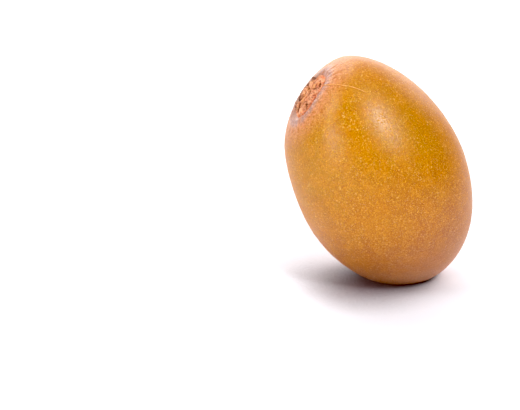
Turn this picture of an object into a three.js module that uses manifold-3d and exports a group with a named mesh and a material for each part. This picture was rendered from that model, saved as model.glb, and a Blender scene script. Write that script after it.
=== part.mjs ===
// A whole golden kiwi fruit. It leans to the left on a small flat spot beside its blossom end.
//
// Millimetres, +Z up. The origin is on the flat spot, straight below the middle of the fruit.
// The fruit grew as one body. Two dry remnants of other colours sit in it: the calyx crust at the
// stem end, with the scar that the stalk left, and the tuft of withered styles at the blossom end.
//
// The body is an egg in its own frame: +Z runs along its length to the stem end, +X to its right
// and +Y to its back. The stem end is an oblique plane, joined to the egg by a broad shoulder.
// A place on the skin is named by its direction from the middle of the egg, as tilt from +Z and
// turn about it.

import * as THREE from "three";
import { mergeVertices } from "three/addons/utils/BufferGeometryUtils.js";
import Module from "manifold-3d";

const wasm = await Module();
wasm.setup();

const degrees = THREE.MathUtils.degToRad;
const smoothstep = THREE.MathUtils.smoothstep;

// ---------------------------------------------------------------- driving dimensions

const HALF_WIDTH = 27.5; // middle to either side
const HALF_THICKNESS = 26.5; // middle to front and to back
const STEM_REACH = 42.8; // middle to the egg's stem tip, which the oblique plane takes off
const BLOSSOM_REACH = 36.8; // middle to the blossom tip
const STEM_PLANE = { distance: 37.5, tilt: degrees(27), turn: degrees(196.5), shoulder: 8.5 };
const SWELL = 0.2; // height of the faint unevenness of a grown fruit

const LEAN = degrees(26.3); // of the long axis from upright, to the left
const FLAT_DEPTH = 2.6; // how much of the round underside the flat spot takes off

const STEM_END = { tilt: degrees(13.3), turn: degrees(205) };
const STEM_DISH = { depth: 0.7, floor: 6.6, rim: 8.8 }; // the radii where it starts and ends
const BLOSSOM_DIMPLE = { depth: 0.5, radius: 4.5 };

const GAP = 0.3; // between the body and a remnant that sits in it

const CALYX = {
  radius: 7.3,
  waver: 0.3, // its edge wanders in and out by this much
  seat: 1.3, // depth of its seat below the floor of the dish
  stalkRadius: 2.1, // of the raised ring that the stalk left
  stalkRing: 0.4,
  stalkPit: 0.45,
  sepalRise: 0.4,
  crumple: 0.12,
  slitDepth: 0.8,
  slitWidth: 0.4,
  slitCurl: 0.09, // radians for each millimetre outwards
  slits: [7, 62, 126, 176, 226, 288].map(degrees), // gaps between the six sepals
};

const TUFT = {
  radius: 1.4, // of the button that the styles stand on
  rise: 0.5, // of the button above the skin
  seat: 0.9,
  styles: 18,
  shortest: 1.1,
  longest: 2.0,
  styleRadius: 0.3,
  styleRoot: 0.7, // how deep a style's root is sunk in the button
  lowest: degrees(8), // rise of the flattest style
  steepest: degrees(38),
};

// ---------------------------------------------------------------- solids

function toSolid(geometry) {
  const bare = geometry.clone();
  bare.deleteAttribute("normal");
  bare.deleteAttribute("uv");
  const merged = mergeVertices(bare, 1e-4);
  return new wasm.Manifold(
    new wasm.Mesh({
      numProp: 3,
      vertProperties: merged.attributes.position.array,
      triVerts: new Uint32Array(merged.index.array),
    }),
  );
}

function toGeometry(solid) {
  const mesh = solid.getMesh();
  const geometry = new THREE.BufferGeometry();
  geometry.setAttribute("position", new THREE.BufferAttribute(mesh.vertProperties, 3));
  geometry.setIndex(new THREE.BufferAttribute(mesh.triVerts, 1));
  return geometry;
}

// A cylinder along +Z, from low to high.
function drum(radius, low, high, sides) {
  const geometry = new THREE.CylinderGeometry(radius, radius, high - low, sides);
  geometry.rotateX(Math.PI / 2);
  geometry.translate(0, 0, (low + high) / 2);
  return geometry;
}

// ---------------------------------------------------------------- the fruit's surface

function directionAt({ tilt, turn }) {
  return new THREE.Vector3(
    Math.sin(tilt) * Math.cos(turn),
    Math.sin(tilt) * Math.sin(turn),
    Math.cos(tilt),
  );
}

const planeNormal = directionAt(STEM_PLANE);
const stemEnd = directionAt(STEM_END);
const blossomEnd = stemEnd.clone().negate();

function smoothMinimum(a, b, width) {
  const share = THREE.MathUtils.clamp(0.5 + (b - a) / (2 * width), 0, 1);
  return THREE.MathUtils.lerp(b, a, share) - width * share * (1 - share);
}

// The skin before its dish and dimple, along a unit direction from the middle.
function plumpPoint(direction) {
  const { x, y, z } = direction;
  const reach = z > 0 ? STEM_REACH : BLOSSOM_REACH;
  const egg = 1 / Math.hypot(x / HALF_WIDTH, y / HALF_THICKNESS, z / reach);
  const around = Math.atan2(y, x);
  const lobes = Math.sin(3 * around + 0.7) + 0.6 * Math.sin(5 * around + 4 * z);
  const facing = direction.dot(planeNormal);
  const plane = facing > 0.3 ? STEM_PLANE.distance / facing : Infinity;
  const capped = plane < 2 * egg ? smoothMinimum(egg, plane, STEM_PLANE.shoulder) : egg;
  return direction.clone().multiplyScalar(capped + SWELL * (1 - z * z) * lobes);
}

// The outward normal of the skin over a patch of about the size of the calyx.
function patchNormal(direction) {
  const reach = 0.12;
  const right = new THREE.Vector3(0, 1, 0).cross(direction).normalize();
  const up = direction.clone().cross(right);
  const beside = (axis, step) => plumpPoint(direction.clone().addScaledVector(axis, step).normalize());
  const across = beside(right, reach).sub(beside(right, -reach));
  const along = beside(up, reach).sub(beside(up, -reach));
  return across.cross(along).normalize();
}

const stemNormal = patchNormal(stemEnd);
const stemPoint = plumpPoint(stemEnd);
const blossomNormal = patchNormal(blossomEnd);
const blossomPoint = plumpPoint(blossomEnd);

// Distance of a skin point from a line that stands on the skin.
function offLine(point, foot, normal) {
  return point.clone().sub(foot).cross(normal).length();
}

function dishDepth(point) {
  const radius = offLine(point, stemPoint, stemNormal);
  return STEM_DISH.depth * (1 - smoothstep(radius, STEM_DISH.floor, STEM_DISH.rim));
}

function dimpleDepth(point) {
  const radius = offLine(point, blossomPoint, blossomNormal);
  return BLOSSOM_DIMPLE.depth * Math.exp(-((radius / BLOSSOM_DIMPLE.radius) ** 2));
}

function skinPoint(direction) {
  const point = plumpPoint(direction);
  const depth = direction.z > 0 ? dishDepth(point) : dimpleDepth(point);
  return point.addScaledVector(direction, -depth);
}

// A frame with its origin on the skin and +Z along the outward normal, for a remnant and its seat.
function seatFrame(direction, normal) {
  const turn = new THREE.Quaternion().setFromUnitVectors(new THREE.Vector3(0, 0, 1), normal);
  return new THREE.Matrix4().compose(skinPoint(direction), turn, new THREE.Vector3(1, 1, 1));
}

const calyxFrame = seatFrame(stemEnd, stemNormal);
const tuftFrame = seatFrame(blossomEnd, blossomNormal);

// The egg stands in this group, leaning to the left over the flat spot.
const undersideDepth = Math.hypot(BLOSSOM_REACH * Math.cos(LEAN), HALF_WIDTH * Math.sin(LEAN));
const standing = new THREE.Group();
standing.rotation.y = -LEAN;
standing.position.z = undersideDepth - FLAT_DEPTH;
standing.updateMatrix();

// ---------------------------------------------------------------- sub-parts

// A sphere of directions with its poles at the two ends, and rings that crowd towards them.
function skinGeometry(around, along) {
  const geometry = new THREE.SphereGeometry(1, around, along);
  const poles = new THREE.Quaternion().setFromUnitVectors(new THREE.Vector3(0, 1, 0), stemEnd);
  const points = geometry.attributes.position;
  for (let i = 0; i < points.count; i++) {
    const onSphere = new THREE.Spherical().setFromCartesianCoords(
      points.getX(i),
      points.getY(i),
      points.getZ(i),
    );
    onSphere.phi -= Math.sin(2 * onSphere.phi) / 4;
    const direction = new THREE.Vector3().setFromSpherical(onSphere).applyQuaternion(poles);
    points.setXYZ(i, ...skinPoint(direction));
  }
  return geometry;
}

function fruitBody() {
  const floor = new THREE.BoxGeometry(200, 200, 100);
  floor.translate(0, 0, -50);
  floor.applyMatrix4(standing.matrix.clone().invert());

  const calyxSeat = drum(CALYX.radius + CALYX.waver + GAP, -CALYX.seat, 10, 72);
  calyxSeat.applyMatrix4(calyxFrame);

  const tuftSeat = drum(TUFT.radius + GAP, -TUFT.seat, 10, 24);
  tuftSeat.applyMatrix4(tuftFrame);

  const body = toSolid(skinGeometry(72, 56))
    .subtract(toSolid(floor))
    .subtract(toSolid(calyxSeat))
    .subtract(toSolid(tuftSeat));
  return toGeometry(body);
}

// How deep a place on the crust lies in the nearest slit, from 0 beyond it to 1 in its middle.
function slitShare(radius, angle) {
  let share = 0;
  for (const root of CALYX.slits) {
    const turn = angle - root - CALYX.slitCurl * (radius - CALYX.stalkRadius);
    const across = Math.cos(turn) > 0 ? radius * Math.sin(turn) : radius;
    share = Math.max(share, Math.exp(-((across / CALYX.slitWidth) ** 2)));
  }
  return share;
}

// Height of the crust above the floor of the dish: dry sepals with slits between them, round the
// ring and the pit where the stalk came off.
function crustHeight(radius, angle) {
  const { stalkRadius, stalkRing, stalkPit, sepalRise, slitDepth, crumple } = CALYX;
  const outsideStalk = smoothstep(radius, stalkRadius, stalkRadius + 1);
  const insideEdge = 1 - smoothstep(radius, CALYX.radius - 1.2, CALYX.radius);
  const sepals = (sepalRise - slitDepth * slitShare(radius, angle)) * outsideStalk * insideEdge;
  const folds = crumple * Math.sin(9 * angle + 1.7 * radius) * outsideStalk;
  const ring = stalkRing * Math.exp(-(((radius - stalkRadius) / 0.5) ** 2));
  const pit = stalkPit * (1 - smoothstep(radius, 0.3, stalkRadius - 0.3));
  return sepals + folds + ring - pit;
}

// Rings of points from the middle of the crust to its wavering edge, then a flat underside.
function calyx() {
  const around = 84;
  const rings = 15;
  const underside = GAP - CALYX.seat;
  const points = [0, 0, crustHeight(0, 0)];
  for (let ring = 1; ring <= rings + 1; ring++) {
    for (let step = 0; step < around; step++) {
      const angle = (2 * Math.PI * step) / around;
      const waver = 0.6 * Math.sin(3 * angle + 1) + 0.4 * Math.sin(7 * angle);
      const edge = CALYX.radius + CALYX.waver * waver;
      const radius = (edge * Math.min(ring, rings)) / rings;
      const height = ring > rings ? underside : crustHeight(radius, angle);
      points.push(radius * Math.cos(angle), radius * Math.sin(angle), height);
    }
  }
  const bottom = points.length / 3;
  points.push(0, 0, underside);

  const faces = [];
  const vertex = (ring, step) => 1 + (ring - 1) * around + (step % around);
  for (let step = 0; step < around; step++) {
    faces.push(0, vertex(1, step), vertex(1, step + 1));
    faces.push(bottom, vertex(rings + 1, step + 1), vertex(rings + 1, step));
    for (let ring = 1; ring <= rings; ring++) {
      faces.push(vertex(ring, step), vertex(ring + 1, step), vertex(ring + 1, step + 1));
      faces.push(vertex(ring, step), vertex(ring + 1, step + 1), vertex(ring, step + 1));
    }
  }
  const geometry = new THREE.BufferGeometry();
  geometry.setAttribute("position", new THREE.Float32BufferAttribute(points, 3));
  geometry.setIndex(faces);
  return toGeometry(toSolid(geometry));
}

// The button with its withered styles, spread out like a star.
function styleTuft() {
  let tuft = toSolid(drum(TUFT.radius, GAP - TUFT.seat, TUFT.rise, 20));
  for (let i = 0; i < TUFT.styles; i++) {
    const share = (i * 0.618) % 1;
    const length = TUFT.styleRoot + THREE.MathUtils.lerp(TUFT.longest, TUFT.shortest, share);
    const style = new THREE.ConeGeometry(TUFT.styleRadius, length, 4);
    style.rotateZ(-Math.PI / 2);
    style.translate(length / 2 + TUFT.radius - TUFT.styleRoot, 0, 0);
    style.rotateY(-THREE.MathUtils.lerp(TUFT.lowest, TUFT.steepest, share));
    style.rotateZ((2 * Math.PI * i) / TUFT.styles);
    style.translate(0, 0, TUFT.rise / 2);
    tuft = tuft.add(toSolid(style));
  }
  return toGeometry(tuft);
}

// ---------------------------------------------------------------- the object

function place(name, geometry, { colour, roughness }, frame = new THREE.Matrix4()) {
  const material = new THREE.MeshStandardMaterial({ color: colour, roughness, metalness: 0 });
  const mesh = new THREE.Mesh(geometry, material);
  mesh.name = name;
  frame.decompose(mesh.position, mesh.quaternion, mesh.scale);
  standing.add(mesh);
}

place("fruit", fruitBody(), { colour: 0xd28a2c, roughness: 0.5 });
place("calyx", calyx(), { colour: 0xb0663a, roughness: 0.85 }, calyxFrame);
place("style_tuft", styleTuft(), { colour: 0x4a2c18, roughness: 0.85 }, tuftFrame);

const kiwi = new THREE.Group();
kiwi.add(standing);

export default kiwi;
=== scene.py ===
"""A whole golden kiwi fruit on a white table, in soft studio light.

Shapes are worked out in millimetres and stored in metres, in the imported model's frame: +Z up, the
origin on the flat spot that the fruit rests on, its stem end up and to the left. The fruit is an
egg in a frame of its own: +Z runs along its length to the stem end, +X to its right and +Y to its
back. A place on the skin is named by its direction from the egg's middle, as (tilt from +Z, turn
about it) in degrees.
"""

import math

import bpy
import numpy as np
from mathutils import Matrix, Vector, noise


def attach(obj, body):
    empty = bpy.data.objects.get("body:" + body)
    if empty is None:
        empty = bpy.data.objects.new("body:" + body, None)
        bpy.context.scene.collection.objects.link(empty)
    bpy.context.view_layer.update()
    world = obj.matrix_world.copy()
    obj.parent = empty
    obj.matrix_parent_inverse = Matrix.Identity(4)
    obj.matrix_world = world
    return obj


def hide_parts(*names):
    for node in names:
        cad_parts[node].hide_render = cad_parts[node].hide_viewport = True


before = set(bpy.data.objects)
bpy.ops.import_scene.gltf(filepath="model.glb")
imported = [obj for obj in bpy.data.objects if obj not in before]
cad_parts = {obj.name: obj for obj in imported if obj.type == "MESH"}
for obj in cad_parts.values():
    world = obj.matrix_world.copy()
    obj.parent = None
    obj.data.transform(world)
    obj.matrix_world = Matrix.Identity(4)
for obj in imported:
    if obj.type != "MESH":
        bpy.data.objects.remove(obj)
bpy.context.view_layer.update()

# ---------------------------------------------------------------- driving dimensions, millimetres

HALF_WIDTH = 27.5
HALF_THICKNESS = 26.5
STEM_REACH = 42.8  # from the egg's middle to its stem tip, which the oblique plane takes off
BLOSSOM_REACH = 36.8  # from the egg's middle to its blossom tip
STEM_PLANE = (27.0, 196.5)  # the place that the oblique plane faces
STEM_PLANE_DISTANCE = 37.5  # from the egg's middle
SHOULDER = 8.5  # width of the blend between the egg and the plane
SWELL = 0.2  # height of the faint unevenness of a grown fruit

LEAN = math.radians(26.3)  # of the long axis from upright, to the left
FLAT_DEPTH = 2.6  # how much of the round underside the flat spot takes off
FLAT_ROUNDING = 1.4  # of the edge round the flat spot
# The egg's middle stands as high as the leaning lower half reaches down, less what is taken off.
MIDDLE_HEIGHT = math.hypot(BLOSSOM_REACH * math.cos(LEAN), HALF_WIDTH * math.sin(LEAN)) - FLAT_DEPTH

STEM_END = (13.3, 205.0)  # the place of the calyx, with the withered styles opposite
DISH_DEPTH = 0.7
DISH_FLOOR = -0.4  # from the crust's edge in to the dish's floor, which the crust lies on
DISH_RIM = 1.7  # from the crust's edge out to the rim of its dish
LIP = 2.2  # from the crust's edge out to the crest of the raised skin round it
DIMPLE_DEPTH = 0.5  # of the dimple at the blossom end
DIMPLE_RADIUS = 4.5
STREAK_STRETCH = 7.0  # millimetres outwards for each step of the noise that makes streaks

CRUST_RADIUS = 6.45
CRUST_BACK = math.radians(106)  # the direction of the back of the crust, about the stem end
CRUST_SHIFT = 0.8  # how far the crust's edge reaches out at its back, and in at its front
CRUST_OVAL = 0.45  # how much longer its radius is along its oval, and shorter across
CRUST_OVAL_TURN = math.radians(8)
CRUST_BED = 0.9  # how deep the skin is hollowed out under the crust
CRUST_THICKNESS = 0.85
CRUST_BACK_RISE = 0.75  # how far it stands up at its back, out of the dish
CRUST_FRONT_DROP = 0.4  # how far it sinks down at its front
CRUST_FINENESS = 6  # of the streaks in it
CALYX_LENGTH_SHARE = 0.1  # how much longer than round it is along its length, and shorter across
CALYX_LENGTH_TURN = math.radians(20)
STALK_RADIUS = 2.1  # of the stump of the stalk, in the middle of the crust
SLITS = np.radians([7, 62, 126, 176, 226, 288])  # gaps between the six sepals
SLIT_DEPTHS = [0.35, 0.3, 0.6, 0.4, 0.3, 0.35]  # from 0 to 1
SLIT_CURL = 0.09  # radians for each millimetre outwards
# Cracks in the crust: two ends in the calyx's plane, half the width, and the depth from 0 to 1.
CRACKS = [
    ((-6.1, -1.1), (-4.5, 1.3), 0.5, 1.0),
    ((-5.0, 3.6), (-3.0, 2.2), 0.6, 1.0),
    ((4.3, -1.3), (5.4, -0.3), 0.42, 0.8),
    ((2.0, 0.6), (3.4, -1.1), 0.3, 0.7),
    ((0.6, -0.2), (1.1, 1.5), 0.32, 0.8),
    ((-0.3, 3.2), (0.9, 3.4), 0.4, 0.5),
    ((-3.1, -4.5), (-2.2, -3.4), 0.32, 0.8),
    ((0.8, -4.1), (1.6, -4.0), 0.3, 0.5),
]

TUFT_RADIUS = 1.4  # of the patch that the withered styles stand on
GOLDEN_SECTION = 0.618  # of a turn from one flake or style to the next, so that no two line up

# Where the scratch runs over the skin, half the width of its cork, and its thickness over its width.
SCRATCH = [(10.6, 241), (12.9, 266), (19.4, 288.6), (22.9, 296.6), (25.9, 301.1), (29.2, 304.2)]
SCRATCH_HALF_WIDTH = 0.12
SCRATCH_FLATNESS = 0.45

TABLE_DROP = 0.1  # a hair under the flat spot, so that the two faces don't fight
METRES = 0.001

# ---------------------------------------------------------------- light

TABLE_SHADE_REACH = 26  # how near the fruit has to be for the table's painted shadow, in millimetres
OPEN_SIDE = (0.62, 0.48, 0.62)  # where that painted shadow looks for light, up and to the back right
PAINTED_BOUNCE_GLOW = 0.085  # painted warm bounce light: a glow in the darkest of the painted shadow
SWEEP = 1.0  # glow of the table's far edge
WORLD_BRIGHTNESS = 1.05  # of the white that the camera sees behind the table
BLACK_LEVEL = 0.029  # brightness that the picture shows as black


# ---------------------------------------------------------------- shapes by formula

def smoothstep(value, low, high):
    share = np.clip((value - low) / (high - low), 0, 1)
    return share * share * (3 - 2 * share)


def bell(value, middle, width):
    return np.exp(-(((value - middle) / width) ** 2))


def smooth_minimum(a, b, width):
    share = np.clip(0.5 + (b - a) / (2 * width), 0, 1)
    return b * (1 - share) + a * share - width * share * (1 - share)


def wander(points, size, seed=0.0, octaves=1):
    """Smooth noise of about -1 to 1 at each point, with bumps of that size."""
    total = np.zeros(len(points))
    for octave in range(octaves):
        scale = 2.0**octave / size
        moved = points * scale + np.array([seed, 7.3 * seed + octave, -3.1 * seed])
        total += [noise.noise(p) * 1.6 / 2**octave for p in moved.tolist()]
    return total


def unit(vectors):
    return vectors / np.linalg.norm(vectors, axis=-1, keepdims=True)


def direction_at(place):
    tilt, turn = np.radians(place)
    return np.array([math.sin(tilt) * math.cos(turn), math.sin(tilt) * math.sin(turn), math.cos(tilt)])


def to_row(points):
    """From the egg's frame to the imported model's."""
    c, s = math.cos(LEAN), math.sin(LEAN)
    x, y, z = points.T
    return np.stack([x * c - z * s, y, x * s + z * c + MIDDLE_HEIGHT], axis=-1)


def plump(directions):
    """The skin before its relief, in the egg's frame, along unit directions."""
    x, y, z = directions.T
    reach = np.where(z > 0, STEM_REACH, BLOSSOM_REACH)
    egg = 1 / np.sqrt((x / HALF_WIDTH) ** 2 + (y / HALF_THICKNESS) ** 2 + (z / reach) ** 2)
    around = np.arctan2(y, x)
    lobes = np.sin(3 * around + 0.7) + 0.6 * np.sin(5 * around + 4 * z)
    facing = directions @ direction_at(STEM_PLANE)
    plane = STEM_PLANE_DISTANCE / np.maximum(facing, 0.3)
    near_plane = (facing > 0.3) & (plane < 2 * egg)
    capped = np.where(near_plane, smooth_minimum(egg, plane, SHOULDER), egg)
    return directions * (capped + SWELL * (1 - z * z) * lobes)[:, None]


class Seat:
    """A frame that stands on the skin, with its Z axis along the outward normal of a patch there."""

    def __init__(self, direction, length_share=0.0, length_turn=0.0, patch=0.12):
        self.direction = direction
        self.length_share, self.length_turn = length_share, length_turn
        right = unit(np.cross([0, 1, 0], direction))
        up = np.cross(direction, right)
        steps = np.array([right, -right, up, -up]) * patch
        east, west, north, south = plump(unit(direction + steps))
        self.normal = unit(np.cross(east - west, north - south))
        self.point = plump(direction[None])[0]
        turn = Vector((0, 0, 1)).rotation_difference(Vector(self.normal))
        self.axes = np.array(turn.to_matrix())

    def polar(self, points):
        """Distance from the seat's axis, as if its marks were round, and angle about it.

        Points on the far side of the fruit are far away.
        """
        x, y, _ = ((points - self.point) @ self.axes).T
        far = 200.0 * (points @ self.direction < 0)
        turn = np.arctan2(y, x)
        return np.hypot(x, y) / self.stretch(turn) + far, turn

    def stretch(self, turn):
        return 1 + self.length_share * np.cos(2 * (turn - self.length_turn))

    def spread(self, radius, turn):
        """The place in the seat's plane that has this distance and angle in its marks."""
        reach = radius * self.stretch(turn)
        return np.stack([reach * np.cos(turn), reach * np.sin(turn), np.zeros(len(turn))], axis=-1)

    def place(self, points):
        """From the seat's frame to the egg's."""
        return self.point + points @ self.axes.T


STEM = Seat(direction_at(STEM_END), CALYX_LENGTH_SHARE, CALYX_LENGTH_TURN)
BLOSSOM = Seat(-direction_at(STEM_END))


def around_stem(radius, turn, fineness):
    """Coordinates for noise that runs in streaks away from the stem end."""
    return np.stack([np.cos(turn) * fineness, np.sin(turn) * fineness, radius / STREAK_STRETCH], axis=-1)


def crust_edge(turn):
    """Where the crust ends. It sits a little towards the back of the stem end."""
    oval = CRUST_OVAL * np.cos(2 * (turn - CRUST_OVAL_TURN))
    return CRUST_RADIUS + CRUST_SHIFT * np.cos(turn - CRUST_BACK) + oval


def relief(points):
    """Height of the skin's own relief above the plump egg."""
    radius, turn = STEM.polar(points)
    from_crust = radius - crust_edge(turn)
    height = 0.09 * wander(points, 15, seed=2) + 0.012 * wander(points, 4.5, seed=5)
    height -= DISH_DEPTH * (1 - smoothstep(from_crust, DISH_FLOOR, DISH_RIM))
    height -= CRUST_BED * (1 - smoothstep(from_crust, -1.1, DISH_FLOOR))

    near = radius < 22  # further out these marks have faded away
    streaks = around_stem(radius[near], turn[near], 11)
    left = smoothstep(np.cos(turn[near] - math.radians(165)), 0.3, 0.9)
    lip = bell(from_crust[near], LIP, 1.1) * (0.12 + 0.35 * left + 0.08 * wander(streaks, 2.5, seed=3))
    wrinkled = smoothstep(from_crust[near], 0, 1.2) * (1 - smoothstep(radius[near], 9, 15))
    rough = 0.6 * wander(streaks, 1, seed=4, octaves=2) + 0.5 * wander(points[near], 1.3, seed=7)
    height[near] += lip + 0.13 * wrinkled * rough

    radius, turn = BLOSSOM.polar(points)
    height -= DIMPLE_DEPTH * bell(radius, 0, DIMPLE_RADIUS)
    near = radius < 12  # further out the puckers have faded away
    puckers = around_stem(radius[near], turn[near], 4)
    fade = smoothstep(radius[near], 0.8, 3) * (1 - smoothstep(radius[near], 4, 9))
    height[near] += 0.12 * fade * wander(puckers, 1, seed=6)
    return height


def rest_on_table(points):
    """Flattens the underside where it meets the table, with a soft edge round the flat."""
    points = points.copy()
    points[:, 2] = -smooth_minimum(-points[:, 2], np.zeros(len(points)), FLAT_ROUNDING)
    return points


def skin_points(directions):
    """The finished skin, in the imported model's frame."""
    points = plump(directions)
    return rest_on_table(to_row(points + directions * relief(points)[:, None]))


def skin_points_and_normals(directions, step=0.012):
    side = unit(np.cross(directions, [0.3, 0.2, 0.93]))
    over = np.cross(directions, side)
    here = skin_points(directions)
    beside = skin_points(unit(directions + step * side)) - here
    beyond = skin_points(unit(directions + step * over)) - here
    return here, unit(np.cross(beside, beyond))


# ---------------------------------------------------------------- meshes

def make_piece(name, points, faces, material, replaces=(), smooth=True):
    mesh = bpy.data.meshes.new(name)
    mesh.from_pydata((points * METRES).tolist(), [], faces)
    mesh.validate()
    mesh.polygons.foreach_set("use_smooth", [smooth] * len(mesh.polygons))
    mesh.materials.append(material)
    piece = bpy.data.objects.new(name, mesh)
    bpy.context.scene.collection.objects.link(piece)
    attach(piece, "root")
    if replaces:
        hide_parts(*replaces)
    return piece


def store(piece, name, values):
    """Keeps a number or a vector for each vertex, for the piece's material to read."""
    kind = "FLOAT" if values.ndim == 1 else "FLOAT_VECTOR"
    attribute = piece.data.attributes.new(name, kind, "POINT")
    attribute.data.foreach_set("value" if kind == "FLOAT" else "vector", values.astype(np.float32).ravel())


def bridge(around, rings, first):
    """Quads between rings of points that are stored one after another from the vertex first."""
    faces = []
    for ring in range(rings - 1):
        low = first + ring * around
        for step in range(around):
            after = (step + 1) % around
            faces.append((low + step, low + around + step, low + around + after, low + after))
    return faces


def fan(apex, around, first, outward=True):
    """Triangles from one point to a ring."""
    order = (0, 1) if outward else (1, 0)
    return [(apex, first + (step + order[0]) % around, first + (step + order[1]) % around)
            for step in range(around)]


def tube(centre, side, over, reach, sides, first=0):
    """A closed tube along a line of points. Its cross-section is spanned by the two vectors side and
    over at each point, times reach. Its faces count from the vertex first.
    """
    turn = np.linspace(0, 2 * math.pi, sides, endpoint=False)[None, :, None]
    round_it = side[:, None] * np.cos(turn) + over[:, None] * np.sin(turn)
    rings = centre[:, None] + reach[:, None, None] * round_it
    last = first + (len(centre) - 1) * sides
    ends = [tuple(range(first, first + sides)), tuple(range(last, last + sides))[::-1]]
    return rings.reshape(-1, 3), bridge(sides, len(centre), first) + ends


def scatter(shape, faces, places, right, over, up, sizes):
    """Copies of a small closed shape, each in its own frame. Returns points and faces."""
    points = (
        places[:, None]
        + sizes[:, None, None] * shape[None, :, 0, None] * right[:, None]
        + sizes[:, None, None] * shape[None, :, 1, None] * over[:, None]
        + sizes[:, None, None] * shape[None, :, 2, None] * up[:, None]
    )
    count = len(shape)
    copies = [tuple(v + copy * count for v in face) for copy in range(len(places)) for face in faces]
    return points.reshape(-1, 3), copies


def spread_directions(count, rng, jitter=0.55):
    """Directions spread evenly over the sphere, then shaken out of line."""
    index = np.arange(count) + 0.5
    z = 1 - 2 * index / count
    turn = index * math.pi * (3 - math.sqrt(5))
    ring = np.sqrt(1 - z * z)
    even = np.stack([ring * np.cos(turn), ring * np.sin(turn), z], axis=-1)
    spacing = math.sqrt(4 * math.pi / count)
    return unit(even + rng.normal(0, jitter * spacing, even.shape))


# ---------------------------------------------------------------- materials

def socket_name(keyword):
    return "IOR" if keyword == "ior" else keyword.replace("_", " ").title()


def colour(red, green, blue):
    """A colour given as it looks on a screen, 0 to 255, as linear light."""
    linear = [((c / 255 + 0.055) / 1.055) ** 2.4 for c in (red, green, blue)]
    return (*linear, 1.0)


class Paint:
    """A material on one Principled shader, and the nodes that feed it."""

    def __init__(self, name, **constants):
        self.material = bpy.data.materials.new(name)
        self.material.use_nodes = True
        self.tree = self.material.node_tree
        self.shader = self.tree.nodes["Principled BSDF"]
        for socket, value in constants.items():
            self.shader.inputs[socket_name(socket)].default_value = value

    def node(self, kind, inputs=(), **settings):
        node = self.tree.nodes.new("ShaderNode" + kind)
        for key, value in settings.items():
            setattr(node, key, value)
        for key, value in dict(inputs).items():
            self.feed(node.inputs[key], value)
        return node

    def feed(self, socket, value):
        if isinstance(value, bpy.types.NodeSocket):
            self.tree.links.new(value, socket)
        else:
            socket.default_value = value

    def position(self):
        """The place on the piece in millimetres."""
        inputs = {0: self.node("TexCoord").outputs["Object"], "Scale": 1 / METRES}
        return self.node("VectorMath", inputs, operation="SCALE").outputs[0]

    def stored(self, name, output="Fac"):
        return self.node("Attribute", attribute_name=name).outputs[output]

    def parts(self, vector):
        return self.node("SeparateXYZ", {0: vector}).outputs

    def cloud(self, where, size, detail=2.0, roughness=0.5, distortion=0.0):
        inputs = {"Vector": where, "Scale": 1 / size, "Detail": detail}
        inputs.update({"Roughness": roughness, "Distortion": distortion})
        return self.node("TexNoise", inputs).outputs["Fac"]

    def share(self, value, low, high, to_low=0.0, to_high=1.0):
        """Turns a number from low to high into one from to_low to to_high, smoothly."""
        inputs = {"Value": value, "From Min": low, "From Max": high, "To Min": to_low, "To Max": to_high}
        return self.node("MapRange", inputs, interpolation_type="SMOOTHSTEP").outputs[0]

    def maths(self, operation, a, b=0.0):
        return self.node("Math", {0: a, 1: b}, operation=operation).outputs[0]

    def product(self, first, *factors):
        for factor in factors:
            first = self.maths("MULTIPLY", first, factor)
        return first

    def away_from(self, value, middle):
        return self.maths("ABSOLUTE", self.maths("SUBTRACT", value, middle))

    def dots(self, where, spacing, edge, core):
        """Soft round dots in scattered cells, each with its own strength from 0 to 1."""
        cells = self.node("TexVoronoi", {"Vector": where, "Scale": 1 / spacing}).outputs
        strength = self.share(self.parts(cells["Color"])[0], 0.0, 0.8)
        return self.product(self.share(cells["Distance"], edge, core), strength)

    def lines(self, noise_value, edge, core):
        """Thin lines that wind about, where a noise passes through its middle."""
        return self.share(self.away_from(noise_value, 0.5), edge, core)

    def mix(self, share, a, b):
        node = self.node("Mix", data_type="RGBA")
        for key, value in ((0, share), (6, a), (7, b)):
            self.feed(node.inputs[key], value)
        return node.outputs[2]

    def two_tone(self, where, size, first, second):
        """Soft patches of two colours, of that size in millimetres."""
        return self.mix(self.share(self.cloud(where, size), 0.35, 0.65), first, second)

    def bump(self, height, depth, normal=None):
        """depth is the height in millimetres that a change of 1 stands for."""
        inputs = {"Height": height, "Distance": depth * METRES}
        if normal:
            inputs["Normal"] = normal
        return self.node("Bump", inputs).outputs[0]

    def finish(self, **sockets):
        for socket, value in sockets.items():
            self.feed(self.shader.inputs[socket_name(socket)], value)
        return self.material


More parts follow.
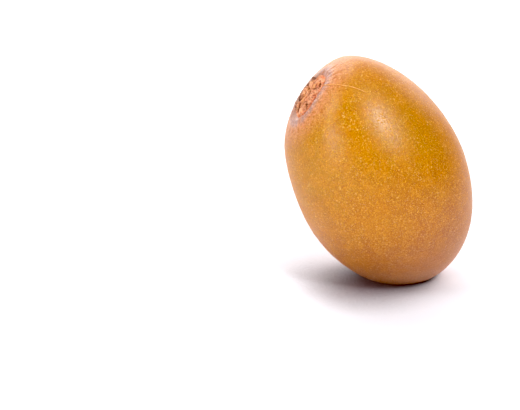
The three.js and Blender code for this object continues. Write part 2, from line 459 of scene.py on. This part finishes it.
class SkinPaint(Paint):
    """The skin, painted in layers: its ground, the stem end, then fine pale marks over both."""

    def __init__(self):
        super().__init__("kiwi_skin", subsurface_weight=0.2, subsurface_scale=0.0015, sheen_weight=0.2,
                         sheen_roughness=0.4, ior=1.5)
        self.shader.inputs["Subsurface Radius"].default_value = (1.0, 0.45, 0.15)
        self.shader.inputs["Sheen Tint"].default_value = colour(255, 190, 150)
        self.where = self.position()
        self.stem_streaks = self.stored("stem_streaks", "Vector")
        self.from_stem = self.product(self.parts(self.stem_streaks)[2], STREAK_STRETCH)
        self.from_crust = self.stored("from_crust")
        self.from_blossom = self.stored("from_blossom")
        self.toward_blossom = self.stored("toward_blossom")
        self.mottle = self.cloud(self.where, 1.2, detail=3, roughness=0.6)

    def ground(self):
        """Amber below and gold above, with painted light and shade: yellower towards the lit stem end,
        browner and darker towards the blossom end, redder at the back where the rims turn from the light,
        and paler and greyer low down as painted light thrown up by the table.
        """
        amber, gold, bright_gold = colour(174, 98, 0), colour(178, 117, 0), colour(198, 124, 1)
        broad = self.share(self.cloud(self.where, 15), 0.38, 0.62, -0.14, 0.14)
        # painted light: the skin turns yellower up towards the stem end, which stands highest in the light
        yellower = self.share(self.toward_blossom, 0.6, -0.6)
        tone = self.mix(self.maths("ADD", broad, yellower), amber, gold)
        # painted shade: browner and darker towards the blossom end, low on the fruit
        browner = self.share(self.toward_blossom, -0.1, 1.0, 0.0, 0.9)
        tone = self.mix(browner, tone, colour(164, 101, 58))
        # painted light thrown up from the table: paler round the blossom end
        paler = self.share(self.from_blossom, 24, 9, 0.0, 0.5)
        tone = self.mix(paler, tone, colour(186, 126, 86))
        # painted light thrown up from the table: greyer and paler on the lowest few millimetres
        greyer = self.share(self.parts(self.where)[2], 10, 1.5, 0.0, 0.5)
        tone = self.mix(greyer, tone, colour(190, 142, 116))
        # painted rim shade: redder towards the back, where the skin turns away from the light
        redder = self.share(self.stored("from_front"), 0.35, 1.0, 0.0, 0.7)
        tone = self.mix(redder, tone, colour(190, 100, 7))
        cloudy = self.share(self.cloud(self.where, 4, detail=3, distortion=0.5), 0.42, 0.58)
        cloudy = self.product(cloudy, self.share(self.toward_blossom, 0.1, 0.9, 0.4, 0.1))
        return self.mix(cloudy, tone, bright_gold)

    def add_stem_end(self, tone):
        """A pink shoulder with brown flecks, and a greyer ring in it round the crust."""
        pink, brown, pale_ring, grey_band = (
            colour(219, 143, 103), colour(175, 94, 34), colour(200, 153, 134), colour(172, 135, 130)
        )
        patchy = self.share(self.mottle, 0.34, 0.62, 0.45)
        tone = self.mix(self.product(self.share(self.from_stem, 17.5, 9), patchy, 0.9), tone, pink)
        flecks = self.share(self.mottle, 0.46, 0.36, 0.0, 0.75)
        tone = self.mix(self.product(flecks, self.share(self.from_stem, 17, 12)), tone, brown)
        uneven = self.maths("ADD", self.from_crust, self.share(self.mottle, 0.3, 0.7, -1.2, 1.2))
        band = self.share(self.away_from(uneven, 2.0), 1.7, 0.5, 0.0, 0.85)
        streaks = self.share(self.cloud(self.stem_streaks, 0.9, detail=3), 0.3, 0.6, 0.5)
        ring = self.product(self.share(self.from_crust, 4.6, 2.4), streaks)
        return self.mix(ring, tone, self.mix(band, pale_ring, grey_band))

    def add_pale_marks(self, tone):
        """Dark grain, then pale lines and dots in drifts. Returns the tone and the marks' height."""
        patchy = self.share(self.cloud(self.where, 2.8, distortion=0.8), 0.40, 0.56, 0.5, 1.0)
        off_crust = self.share(self.from_crust, 0.5, 3.5, 0.4, 1.0)
        off_blossom = self.share(self.toward_blossom, 0.1, 0.9, 1.0, 0.35)
        drifts = self.product(patchy, off_crust, off_blossom)
        pinker_blossom = self.share(self.toward_blossom, 0.1, 0.9, 0.0, 0.8)
        pinker = self.maths("MAXIMUM", self.share(self.from_stem, 16, 9), pinker_blossom)

        grain = self.cloud(self.where, 0.7, roughness=0.6)
        tone = self.mix(self.share(grain, 0.50, 0.34, 0.0, 0.5), tone, colour(160, 82, 0))
        winding = self.lines(self.cloud(self.where, 0.75, detail=1), 0.06, 0.0)
        fine_dots = self.dots(self.where, 0.62, 0.42, 0.15)
        large_dots = self.dots(self.where, 1.05, 0.36, 0.12)
        for marks, strength, gold, pink in (
            (winding, 0.38, colour(240, 180, 55), colour(248, 196, 138)),
            (fine_dots, 0.36, colour(245, 185, 65), colour(248, 196, 138)),
            (large_dots, 0.3, colour(254, 210, 115), colour(254, 216, 172)),
        ):
            tone = self.mix(self.product(marks, drifts, strength), tone, self.mix(pinker, gold, pink))

        dots_height = self.maths("ADD", self.product(large_dots, 0.5), self.product(fine_dots, 0.45))
        return tone, self.maths("ADD", dots_height, self.product(grain, 0.6))


def skin_material():
    paint = SkinPaint()
    tone, height = paint.add_pale_marks(paint.add_stem_end(paint.ground()))
    blotch = paint.product(paint.share(paint.from_blossom, 8.5, 2.5), 0.7)
    tone = paint.mix(blotch, tone, colour(210, 109, 29))
    satin = paint.share(paint.cloud(paint.where, 6), 0.3, 0.7, 0.35, 0.39)
    return paint.finish(base_color=tone, roughness=satin, normal=paint.bump(height, 0.11))


def pore_material():
    """Golden, and browner low on the fruit."""
    paint = Paint("kiwi_pores", roughness=0.5, ior=1.4)
    where = paint.position()
    tone = paint.two_tone(where, 1.6, colour(210, 138, 16), colour(228, 166, 50))
    low = paint.share(paint.parts(where)[2], 30, 5, 0.0, 0.9)
    return paint.finish(base_color=paint.mix(low, tone, colour(184, 118, 66)))


def dry_material(name, patch_size, first, second, **constants):
    """A dry material in soft patches of two colours."""
    paint = Paint(name, **constants)
    tone = paint.two_tone(paint.position(), patch_size, colour(*first), colour(*second))
    return paint.finish(base_color=tone)


def fuzz_material():
    return dry_material("kiwi_fuzz", 4, (234, 190, 150), (216, 156, 104), roughness=0.6, sheen_weight=0.3)


def cork_material():
    return dry_material("kiwi_cork", 0.7, (238, 182, 112), (222, 152, 80), roughness=0.7)


def speck_material():
    return dry_material("kiwi_specks", 0.8, (140, 72, 22), (176, 98, 34), roughness=0.7)


def style_material():
    return dry_material("dry_styles", 0.5, (58, 30, 18), (112, 64, 36), roughness=0.75)


def crust_material():
    """Fibrous and torn, with painted light and shade: pale on the ridges and orange at the near edge as
    painted highlights, and nearly black in the low places and gaps as painted shade.
    """
    paint = Paint("dry_calyx", roughness=0.75, ior=1.4)
    where = paint.position()
    streaks = paint.stored("crust_streaks", "Vector")
    fibres = paint.cloud(streaks, 0.6, detail=4, roughness=0.6)
    tone = paint.mix(paint.share(fibres, 0.35, 0.68), colour(204, 126, 84), colour(246, 186, 144))
    russet = paint.share(paint.cloud(where, 1.6, detail=3), 0.50, 0.62)
    tone = paint.mix(paint.product(russet, 0.75), tone, colour(188, 104, 68))
    golden = paint.share(paint.cloud(where, 2.2, distortion=0.6), 0.48, 0.36)
    tone = paint.mix(paint.product(golden, 0.6), tone, colour(238, 168, 100))

    dark_strands = (0.9, 0.4, 1.1, colour(122, 60, 36))
    pale_strands = (0.7, 1.4, 2.1, colour(250, 202, 164))
    for size, distortion, patch_size, ink in (dark_strands, pale_strands):
        strands = paint.lines(paint.cloud(streaks, size, distortion=distortion), 0.04, 0.01)
        here = paint.share(paint.cloud(where, patch_size, detail=1), 0.45, 0.55)
        tone = paint.mix(paint.product(strands, here, 0.75), tone, ink)

    height = paint.stored("crust_height")
    painted_lit_edge, far_rim, gap = paint.parts(paint.stored("crust_marks", "Vector"))
    torn = paint.share(paint.cloud(where, 0.5), 0.42, 0.56, 0.0, 0.7)
    # painted light and shade: highlights on the front edge and ridges, shade in hollows and gaps
    for share, ink in (
        (paint.product(painted_lit_edge, torn), colour(238, 144, 104)),
        (paint.share(height, 0.95, 1.35, 0.0, 0.7), colour(242, 192, 154)),
        (paint.share(height, 0.7, 0.25, 0.0, 0.8), colour(156, 84, 52)),
        (paint.share(height, 0.3, -0.25), colour(42, 15, 4)),
        (paint.share(gap, 0.35, 0.75, 0.0, 0.9), colour(54, 20, 7)),
        (paint.product(far_rim, 0.9), colour(108, 68, 50)),
    ):
        tone = paint.mix(share, tone, ink)
    fine = paint.bump(paint.cloud(where, 0.25, detail=4), 0.1)
    return paint.finish(base_color=tone, normal=paint.bump(fibres, 0.2, fine))


def table_material():
    """White, with a painted shadow that darkens it close to the fruit and a faint warm glow in the
    darkest of that shadow as painted light thrown back from the fruit. Far from the fruit it glows, as if
    the table curved up into a white sweep.
    """
    paint = Paint("white_table", roughness=0.6)
    open_side = paint.node("CombineXYZ", dict(enumerate(OPEN_SIDE))).outputs[0]
    sky = {"Distance": TABLE_SHADE_REACH * METRES, "Normal": open_side}
    openness = paint.node("AmbientOcclusion", sky, samples=8).outputs["AO"]
    # painted shadow: the table's colour darkens where the fruit hides it from the open side
    tone = paint.mix(paint.share(openness, 0.15, 0.79), colour(70, 40, 52), colour(246, 247, 255))
    from_fruit = paint.node("VectorMath", {0: paint.position()}, operation="LENGTH").outputs["Value"]
    # painted bounce light: a faint warm glow where the painted shadow is darkest
    warm = paint.share(openness, 0.36, 0.06, 0.0, PAINTED_BOUNCE_GLOW)
    sweep = paint.share(from_fruit, 350, 900, 0.0, SWEEP)
    # warm tint of the painted bounce light near the fruit, white far away
    glow_tone = paint.mix(paint.share(from_fruit, 100, 350), colour(255, 205, 190), (1, 1, 1, 1))
    glow = paint.maths("MAXIMUM", warm, sweep)
    return paint.finish(base_color=tone, emission_color=glow_tone, emission_strength=glow)


# ---------------------------------------------------------------- the fruit

def skin(around=384, along=236):
    """The skin in rings about the stem end, which stand closer together towards both ends."""
    polar = np.linspace(0, math.pi, along + 1)[1:-1]
    polar = polar - np.sin(2 * polar) / 8
    turn = np.linspace(0, 2 * math.pi, around, endpoint=False)
    polar, turn = np.meshgrid(polar, turn, indexing="ij")
    rings = np.stack([np.sin(polar) * np.cos(turn), np.sin(polar) * np.sin(turn), np.cos(polar)], axis=-1)
    upright = np.vstack([[[0, 0, 1]], rings.reshape(-1, 3), [[0, 0, -1]]])
    turned = Vector((0, 0, 1)).rotation_difference(Vector(STEM.direction)).to_matrix()
    directions = unit(upright @ np.array(turned).T)

    last = len(directions) - 1
    faces = bridge(around, along - 1, 1)
    faces += fan(0, around, 1) + fan(last, around, last - around, outward=False)
    piece = make_piece("skin", skin_points(directions), faces, skin_material(), ["fruit"])
    plump_points = plump(directions)
    radius, turn = STEM.polar(plump_points)
    store(piece, "stem_streaks", around_stem(radius, turn, 9))
    store(piece, "from_crust", radius - crust_edge(turn))
    store(piece, "from_blossom", BLOSSOM.polar(plump_points)[0])
    store(piece, "toward_blossom", -plump_points[:, 2] / BLOSSOM_REACH)
    # for the painted rim shade, redder towards the back
    store(piece, "from_front", 1 + plump_points[:, 1] / HALF_THICKNESS)
    return piece


def frames_on_skin(directions, rng):
    """Places on the skin, each with two tangents turned at random and the outward normal."""
    places, up = skin_points_and_normals(directions)
    turn = rng.uniform(0, 2 * math.pi, len(up))[:, None]
    side = unit(np.cross(up, rng.normal(size=up.shape)))
    right = side * np.cos(turn) + np.cross(up, side) * np.sin(turn)
    return places, right, np.cross(up, right), up


def low_dome(sides, height, sunk):
    """A closed low dome of radius 1."""
    turn = np.linspace(0, 2 * math.pi, sides, endpoint=False)
    foot = np.stack([np.cos(turn), np.sin(turn), np.full(sides, -sunk)], axis=-1)
    shape = np.vstack([foot, [[0, 0, height]]])
    return shape, [tuple(range(sides))[::-1]] + fan(sides, sides, 0)


def away_from_ends(directions, stem_clear, blossom_clear, table_clear=0.3):
    """The directions that aren't that near the stem end, the blossom end or the table."""
    points = plump(directions)
    clear = (STEM.polar(points)[0] > stem_clear) & (BLOSSOM.polar(points)[0] > blossom_clear)
    return directions[clear & (skin_points(directions)[:, 2] > table_clear)]


def pores(count=15000):
    """Low pale domes all over, spread evenly but not in rows."""
    rng = np.random.default_rng(11)
    directions = away_from_ends(spread_directions(count, rng, jitter=0.3), 10, 3)
    shape, faces = low_dome(6, 0.3, 0.2)
    usual, smallest, largest = 0.17, 0.08, 0.34
    sizes = np.clip(rng.lognormal(math.log(usual), 0.3, len(directions)), smallest, largest)
    points, faces = scatter(shape, faces, *frames_on_skin(directions, rng), sizes)
    return make_piece("skin_pores", points, faces, pore_material())


def specks(count=26):
    """Dark specks here and there, with one larger one in front, below the calyx."""
    large_place, large_size = (42.1, 241.8), 0.42
    rng = np.random.default_rng(5)
    directions = away_from_ends(spread_directions(count, rng), 10, 4)
    directions = np.vstack([directions, direction_at(large_place)])
    shape, faces = low_dome(7, 0.12, 0.1)
    sizes = np.append(rng.uniform(0.12, 0.26, len(directions) - 1), large_size)
    points, faces = scatter(shape, faces, *frames_on_skin(directions, rng), sizes)
    return make_piece("skin_specks", points, faces, speck_material())


def fuzz(count=14000):
    """Short sparse hairs that lie towards the blossom end, each a thin spike on three sides."""
    root_radius, root_depth = 0.045, 0.1  # as shares of the hair's length
    shortest, longest = 0.25, 0.55
    rng = np.random.default_rng(23)
    directions = away_from_ends(spread_directions(count, rng), 8, 1.5)
    places, up = skin_points_and_normals(directions)
    axis = to_row(np.array([[0, 0, -1.0], [0, 0, 0]]))
    downward = axis[0] - axis[1]
    lie = unit(downward - (up @ downward)[:, None] * up + rng.normal(0, 0.5, up.shape))
    rise = rng.uniform(0.35, 1.0, len(up))
    along = unit(up * rise[:, None] + lie)
    right = unit(np.cross(along, up))
    turn = np.linspace(0, 2 * math.pi, 3, endpoint=False)
    root = [root_radius * np.cos(turn), root_radius * np.sin(turn), np.full(3, -root_depth)]
    shape = np.vstack([np.stack(root, axis=-1), [[0, 0, 1]]])
    faces = [(2, 1, 0), (0, 1, 3), (1, 2, 3), (2, 0, 3)]
    sizes = rng.uniform(shortest, longest, len(up))
    points, faces = scatter(shape, faces, places, right, np.cross(along, right), along, sizes)
    return make_piece("skin_fuzz", points, faces, fuzz_material(), smooth=False)


def scratch():
    """A thin corky line that runs from the calyx over the front of the shoulder."""
    knots = np.array([direction_at(place) for place in SCRATCH])
    steps, sides, smoothing = 90, 6, 9
    spot = np.linspace(0, len(SCRATCH) - 1, steps)
    line = np.stack([np.interp(spot, range(len(SCRATCH)), knots[:, axis]) for axis in range(3)], axis=-1)
    kernel = np.ones(smoothing) / smoothing
    inner = np.stack([np.convolve(line[:, axis], kernel, "valid") for axis in range(3)], axis=-1)
    line[smoothing // 2 : -(smoothing // 2)] = inner

    points, up = skin_points_and_normals(unit(line))
    side = np.cross(unit(np.gradient(points, axis=0)), up)
    share = np.linspace(0, 1, steps)
    taper = np.minimum(smoothstep(share, -0.05, 0.05), smoothstep(share, 1.0, 0.75))
    uneven = 1 + 0.45 * wander(points, 0.9, seed=8)
    reach = SCRATCH_HALF_WIDTH * taper * uneven
    points, faces = tube(points, side, SCRATCH_FLATNESS * up, reach, sides)
    return make_piece("corky_scratch", points, faces, cork_material())


# ---------------------------------------------------------------- the dry calyx

def beside_segment(flat, start, end):
    """Distance of each point from a segment in the calyx's plane."""
    start, end = np.array(start), np.array(end)
    run = end - start
    share = np.clip((flat[:, :2] - start) @ run / (run @ run), 0, 1)
    return np.linalg.norm(flat[:, :2] - start - share[:, None] * run, axis=1)


def gaps(radius, turn, flat):
    """How deep a place lies in the gaps in and between the sepals, from 0 to 1."""
    waver = 0.4 * wander(flat, 2.4, seed=12)
    deepest = np.zeros(len(radius))
    for number, root in enumerate(SLITS):
        away = turn - root - SLIT_CURL * (radius - STALK_RADIUS)
        across = np.where(np.cos(away) > 0, radius * np.sin(away) + waver, radius)
        width = 0.28 + 0.1 * math.sin(2.4 * number + 1)
        opening = smoothstep(radius, 2.0, 3.4) * (1 - smoothstep(radius, 4.8, 6.2))
        deepest = np.maximum(deepest, SLIT_DEPTHS[number] * bell(across, 0, width) * opening)
    for start, end, width, depth in CRACKS:
        across = beside_segment(flat, start, end) * (1 + 0.3 * waver)
        deepest = np.maximum(deepest, depth * bell(across, 0, width))
    return deepest


def crust_heights(radius, turn):
    """Height of the crust above the dish's floor, and how high each place stands in its own relief,
    which the crust's painted light and shade follow.
    """
    gap_depth, lowest, highest, tucked_under = 0.6, -0.8, 1.5, 0.35
    flat = STEM.spread(radius, turn)
    push = np.stack([wander(flat, 2, seed=14), wander(flat, 2, seed=15), flat[:, 2]], axis=-1)
    warped = flat + 0.6 * push
    streaks = around_stem(radius, turn, CRUST_FINENESS) + 0.5 * wander(flat, 1.8, seed=16)[:, None]
    pit = 1 - smoothstep(radius, 0.4, 1.5)
    outside_stalk = smoothstep(radius, STALK_RADIUS - 0.8, STALK_RADIUS + 0.8)
    folds = 0.4 * (0.35 - np.abs(wander(streaks, 1.7, seed=9)))
    crumple = 0.24 * wander(warped, 1.7, seed=11, octaves=2)
    fibres = 0.13 * wander(streaks, 0.45, seed=10)
    grit = 0.11 * wander(warped, 0.45, seed=17)
    sepals = CRUST_THICKNESS + folds + crumple
    stalk = 0.75 + 0.25 * bell(radius, STALK_RADIUS - 0.5, 0.45) - 0.35 * pit
    relief_height = sepals * outside_stalk + stalk * (1 - outside_stalk) + fibres + grit
    relief_height -= (relief_height + gap_depth) * gaps(radius, turn, flat)
    relief_height = np.clip(relief_height, lowest, highest)

    back = np.cos(turn - CRUST_BACK)
    edge = crust_edge(turn)
    tilt = np.where(back > 0, CRUST_BACK_RISE, CRUST_FRONT_DROP) * back
    lean = tilt * smoothstep(radius, 2.5, edge - 0.8)
    ragged = edge + 0.55 * wander(streaks, 0.75, seed=13, octaves=2)
    inside = 1 - smoothstep(radius, ragged - 0.6, ragged)
    return (relief_height + lean) * inside - tucked_under * (1 - inside), relief_height


def crust_marks(radius, turn):
    """How near a place is to the front edge, which takes a painted highlight, to the dark rim at the back
    and to a gap, which takes painted shade.
    """
    back = np.cos(turn - CRUST_BACK)
    flat = STEM.spread(radius, turn)
    uneven = radius - crust_edge(turn) + 0.5 * wander(flat, 1.1, seed=18)
    # painted highlight along the crust's front edge, towards the front lamps
    bright = smoothstep(uneven, -1.4, -0.6) * smoothstep(back, 0.4, -0.2)
    dark = smoothstep(uneven, -1.9, -1.1) * smoothstep(back, 0.1, 0.6)
    return np.stack([bright, dark, gaps(radius, turn, flat)], axis=-1)


def dish_floor(local):
    """Height of the dish under the calyx, above the seat's plane at the middle of the stem end."""
    directions = unit(STEM.place(local * [1, 1, 0]))
    surface = ((plump(directions) - STEM.point) @ STEM.axes)[:, 2]
    turn = np.arctan2(local[:, 1], local[:, 0])
    from_crust = np.hypot(local[:, 0], local[:, 1]) / STEM.stretch(turn) - crust_edge(turn)
    return surface - DISH_DEPTH * (1 - smoothstep(from_crust, DISH_FLOOR, DISH_RIM))


def calyx(around=400, rings=92):
    """The crust as one closed piece. Its edge dips under the skin, down to one point."""
    skirt, lowest = 0.7, -2.0
    share = np.linspace(0, 1, rings + 1)[1:]
    turn = np.linspace(0, 2 * math.pi, around, endpoint=False)
    share, turn = (grid.ravel() for grid in np.meshgrid(share, turn, indexing="ij"))
    radius = share * (crust_edge(turn) + skirt)
    radius = np.append(radius, [0.0, 0.0])
    turn = np.append(turn, [0.0, 0.0])
    height, relief_height = crust_heights(radius, turn)
    height[-1] = lowest
    local = STEM.spread(radius, turn)
    local[:, 2] = height + dish_floor(local)
    top, bottom = len(local) - 2, len(local) - 1
    faces = bridge(around, rings, 0) + fan(top, around, 0)
    faces += fan(bottom, around, (rings - 1) * around, outward=False)
    placed = to_row(STEM.place(local))
    piece = make_piece("calyx_crust", placed, faces, crust_material(), ["calyx"])
    store(piece, "crust_height", relief_height)
    store(piece, "crust_marks", crust_marks(radius, turn))
    store(piece, "crust_streaks", around_stem(radius, turn, CRUST_FINENESS))
    return piece


def curled_flake(rng, length, width):
    """A thin closed flake of dry sepal along +X from its root, curling up towards its tip."""
    rows, columns, thickness = 9, 7, 0.09
    u, v = np.meshgrid(np.linspace(0, 1, rows), np.linspace(-1, 1, columns), indexing="ij")
    ragged = 1 + 0.18 * np.sin(9 * u + rng.uniform(0, 6)) * np.abs(v) + rng.normal(0, 0.05, u.shape)
    half = 0.5 * width * ragged * np.sqrt(np.clip(1.05 - u**2, 0.06, 1))
    lift, roll = rng.uniform(0.05, 0.25), rng.uniform(0.1, 0.35)
    x = length * u * (1 - 0.25 * lift * u**2)
    z = length * (lift * u**2 - 0.12 * u) + roll * width * v**2 * (0.3 + u)
    z += 0.05 * np.sin(5 * u + 3 * v + rng.uniform(0, 6))
    top = np.stack([x, half * v, z], axis=-1).reshape(-1, 3)
    shape = np.vstack([top, top - [0, 0, thickness]])
    count = rows * columns
    index = np.arange(count).reshape(rows, columns)
    faces = []
    for row in range(rows - 1):
        for column in range(columns - 1):
            a, b = index[row, column], index[row + 1, column]
            faces.append((a, b, b + 1, a + 1))
            faces.append((a + count, a + 1 + count, b + 1 + count, b + count))
    rim = [*index[0, :-1], *index[:-1, -1], *index[-1, :0:-1], *index[:0:-1, 0]]
    for here, after in zip(rim, rim[1:] + rim[:1]):
        faces.append((here, after, after + count, here + count))
    return shape, faces


def flakes(count=14):
    """Torn bits of the dry sepals that stand up from the crust."""
    root_depth = 0.1
    rng = np.random.default_rng(41)
    points, faces, heights, streaks = [], [], [], []
    for number in range(count):
        radius = rng.uniform(1.6, 4.6)
        turn = 2 * math.pi * (number * GOLDEN_SECTION + rng.uniform(0, 0.06))
        length, width = rng.uniform(1.1, 2.2), rng.uniform(0.6, 1.3)
        shape, own_faces = curled_flake(rng, length, width)
        facing = turn + rng.normal(0, 0.6)
        foot = np.array([[radius * math.cos(turn), radius * math.sin(turn), 0.0]])
        ground = crust_heights(np.array([radius]), np.array([turn]))[0] + dish_floor(foot)
        c, s = math.cos(facing), math.sin(facing)
        spin = np.array([[c, -s, 0], [s, c, 0], [0, 0, 1]])
        local = shape @ spin.T + foot + [0, 0, float(ground[0]) - root_depth]
        first = sum(len(p) for p in points)
        points.append(local)
        faces += [tuple(int(first + v) for v in face) for face in own_faces]
        # how brightly the flake is painted: raised tips take the crust's painted highlight
        heights.append(0.75 + 0.45 * shape[:, 2] + rng.uniform(-0.25, 0.25))
        own_streaks = [2 * shape[:, 1], shape[:, 2] + number, shape[:, 0] / STREAK_STRETCH]
        streaks.append(np.stack(own_streaks, axis=-1))
    placed = to_row(STEM.place(np.vstack(points)))
    piece = make_piece("calyx_flakes", placed, faces, crust_material())
    heights = np.concatenate(heights)
    store(piece, "crust_height", heights)
    store(piece, "crust_marks", np.zeros((len(heights), 3)))
    store(piece, "crust_streaks", np.vstack(streaks))
    return piece


# ---------------------------------------------------------------- the withered styles

def style_tuft(count=42):
    """Thin withered styles that fan out from the bottom of the dimple and curl down."""
    rng = np.random.default_rng(31)
    points, faces = [], []
    sides, steps = 5, 6
    for number in range(count):
        turn = 2 * math.pi * number * GOLDEN_SECTION
        foot = TUFT_RADIUS * math.sqrt((number + 0.5) / count)
        length = rng.uniform(0.9, 2.1)
        lift = rng.uniform(0.15, 0.9)
        curl = rng.uniform(-0.7, 0.2)
        reach = np.linspace(0, 1, steps)
        out = foot + length * reach * math.cos(lift)
        rise = -0.2 + length * (reach * math.sin(lift) + curl * reach**2 * 0.4)
        bend = turn + rng.normal(0, 0.25) * reach
        centre = np.stack([out * np.cos(bend), out * np.sin(bend), np.maximum(rise, -0.3)], axis=-1)
        along = unit(np.gradient(centre, axis=0))
        side = unit(np.cross(along, [0, 0, 1.0]))
        half_width = 0.17 * (1 - 0.8 * reach) + 0.02
        first = sides * steps * number
        own_points, own_faces = tube(centre, side, np.cross(side, along), half_width, sides, first)
        points.append(own_points)
        faces += own_faces
    local = np.vstack(points) - [0, 0, DIMPLE_DEPTH]
    placed = to_row(BLOSSOM.place(local))
    return make_piece("style_tuft_dry", placed, faces, style_material(), ["style_tuft"])


# ---------------------------------------------------------------- table, light and camera

def table():
    """A round white table top, in rings of those radii in metres."""
    around = 128
    rings = [0.2, 0.5, 1.5]
    turn = np.linspace(0, 2 * math.pi, around, endpoint=False)
    height = -TABLE_DROP * METRES
    points = [(0, 0, height)]
    for radius in rings:
        points += [(radius * math.cos(t), radius * math.sin(t), height) for t in turn]
    mesh = bpy.data.meshes.new("table")
    mesh.from_pydata(points, [], fan(0, around, 1) + bridge(around, len(rings), 1))
    mesh.materials.append(table_material())
    floor = bpy.data.objects.new("table", mesh)
    bpy.context.scene.collection.objects.link(floor)


def softbox(name, direction, distance, width, height, power):
    """A rectangular lamp that faces the fruit from a direction, in metres and watts."""
    lamp = bpy.data.lights.new(name, "AREA")
    lamp.shape = "RECTANGLE"
    lamp.size, lamp.size_y = width, height
    lamp.energy = power
    aim = Vector((0, 0, MIDDLE_HEIGHT * METRES))
    toward = Vector(direction).normalized()
    holder = bpy.data.objects.new(name, lamp)
    holder.location = aim + toward * distance
    holder.rotation_euler = toward.to_track_quat("Z", "Y").to_euler()
    bpy.context.scene.collection.objects.link(holder)


def surroundings(brightness):
    """A plain white backdrop all round, which throws no light of its own on the fruit."""
    world = bpy.data.worlds.new("white_backdrop")
    world.use_nodes = True
    backdrop = world.node_tree.nodes["Background"].inputs
    backdrop["Color"].default_value = (1, 1, 1, 1)
    backdrop["Strength"].default_value = brightness
    for use in ("diffuse", "glossy", "transmission", "scatter"):
        setattr(world.cycles_visibility, use, False)
    bpy.context.scene.world = world


def light():
    surroundings(WORLD_BRIGHTNESS)
    softbox("highlight", (0.44, -0.59, 0.68), 1.0, 0.20, 0.26, 6.3)
    softbox("front_left", (-0.70, -0.68, 0.23), 1.0, 0.2, 0.2, 3.1)
    softbox("left", (-0.74, -0.24, 0.65), 1.0, 0.45, 0.45, 3.6)
    softbox("above_right", (0.40, -0.4, 0.8), 1.1, 0.8, 0.9, 2.1)
    softbox("overhead", (0, 0, 1), 1.1, 1.0, 1.0, 1.8)
    softbox("above_back", (-0.18, 0.47, 0.86), 1.0, 0.5, 0.35, 2.5)
    softbox("back", (-0.15, 0.83, 0.53), 1.0, 0.6, 0.35, 1.5)
    softbox("backdrop", (0.05, 0.85, 0.5), 1.2, 2.3, 1.1, 9.7)
    softbox("right_back", (0.70, 0.54, 0.47), 1.1, 0.5, 0.4, 0.7)
    softbox("low_back", (0.08, 0.97, 0.2), 1.0, 1.2, 0.3, 2.2)


def develop():
    """Standard colours, with the deep blacks of a product photograph."""
    view = bpy.context.scene.view_settings
    view.view_transform = "Standard"
    view.use_curve_mapping = True
    view.curve_mapping.black_level = (BLACK_LEVEL, BLACK_LEVEL, BLACK_LEVEL)
    view.curve_mapping.update()


def camera():
    """Looks along +Y and 20 degrees down, with the fruit right of the picture's middle."""
    picture_width, picture_height = 520, 410
    fruit_at = (380.65, 178.8)  # the pixel that shows the egg's middle
    pixel = 0.3198 * METRES  # at the fruit
    elevation = math.radians(20)
    distance = 0.75
    sensor = 36.0

    lens = bpy.data.cameras.new("camera")
    lens.sensor_width = sensor
    lens.lens = sensor * distance / (pixel * picture_width)
    lens.clip_start, lens.clip_end = 0.01, 30
    right = Vector((1, 0, 0))
    up = Vector((0, math.sin(elevation), math.cos(elevation)))
    back = Vector((0, -math.cos(elevation), math.sin(elevation)))
    across = (fruit_at[0] - picture_width / 2) * pixel
    above = (picture_height / 2 - fruit_at[1]) * pixel
    middle = Vector((0, 0, MIDDLE_HEIGHT * METRES))
    viewer = bpy.data.objects.new("camera", lens)
    viewer.location = middle - across * right - above * up + distance * back
    viewer.rotation_euler = Matrix((right, up, back)).transposed().to_euler()
    bpy.context.scene.collection.objects.link(viewer)
    bpy.context.scene.camera = viewer


camera()
table()
light()
develop()

skin()
pores()
specks()
fuzz()
scratch()
calyx()
flakes()
style_tuft()
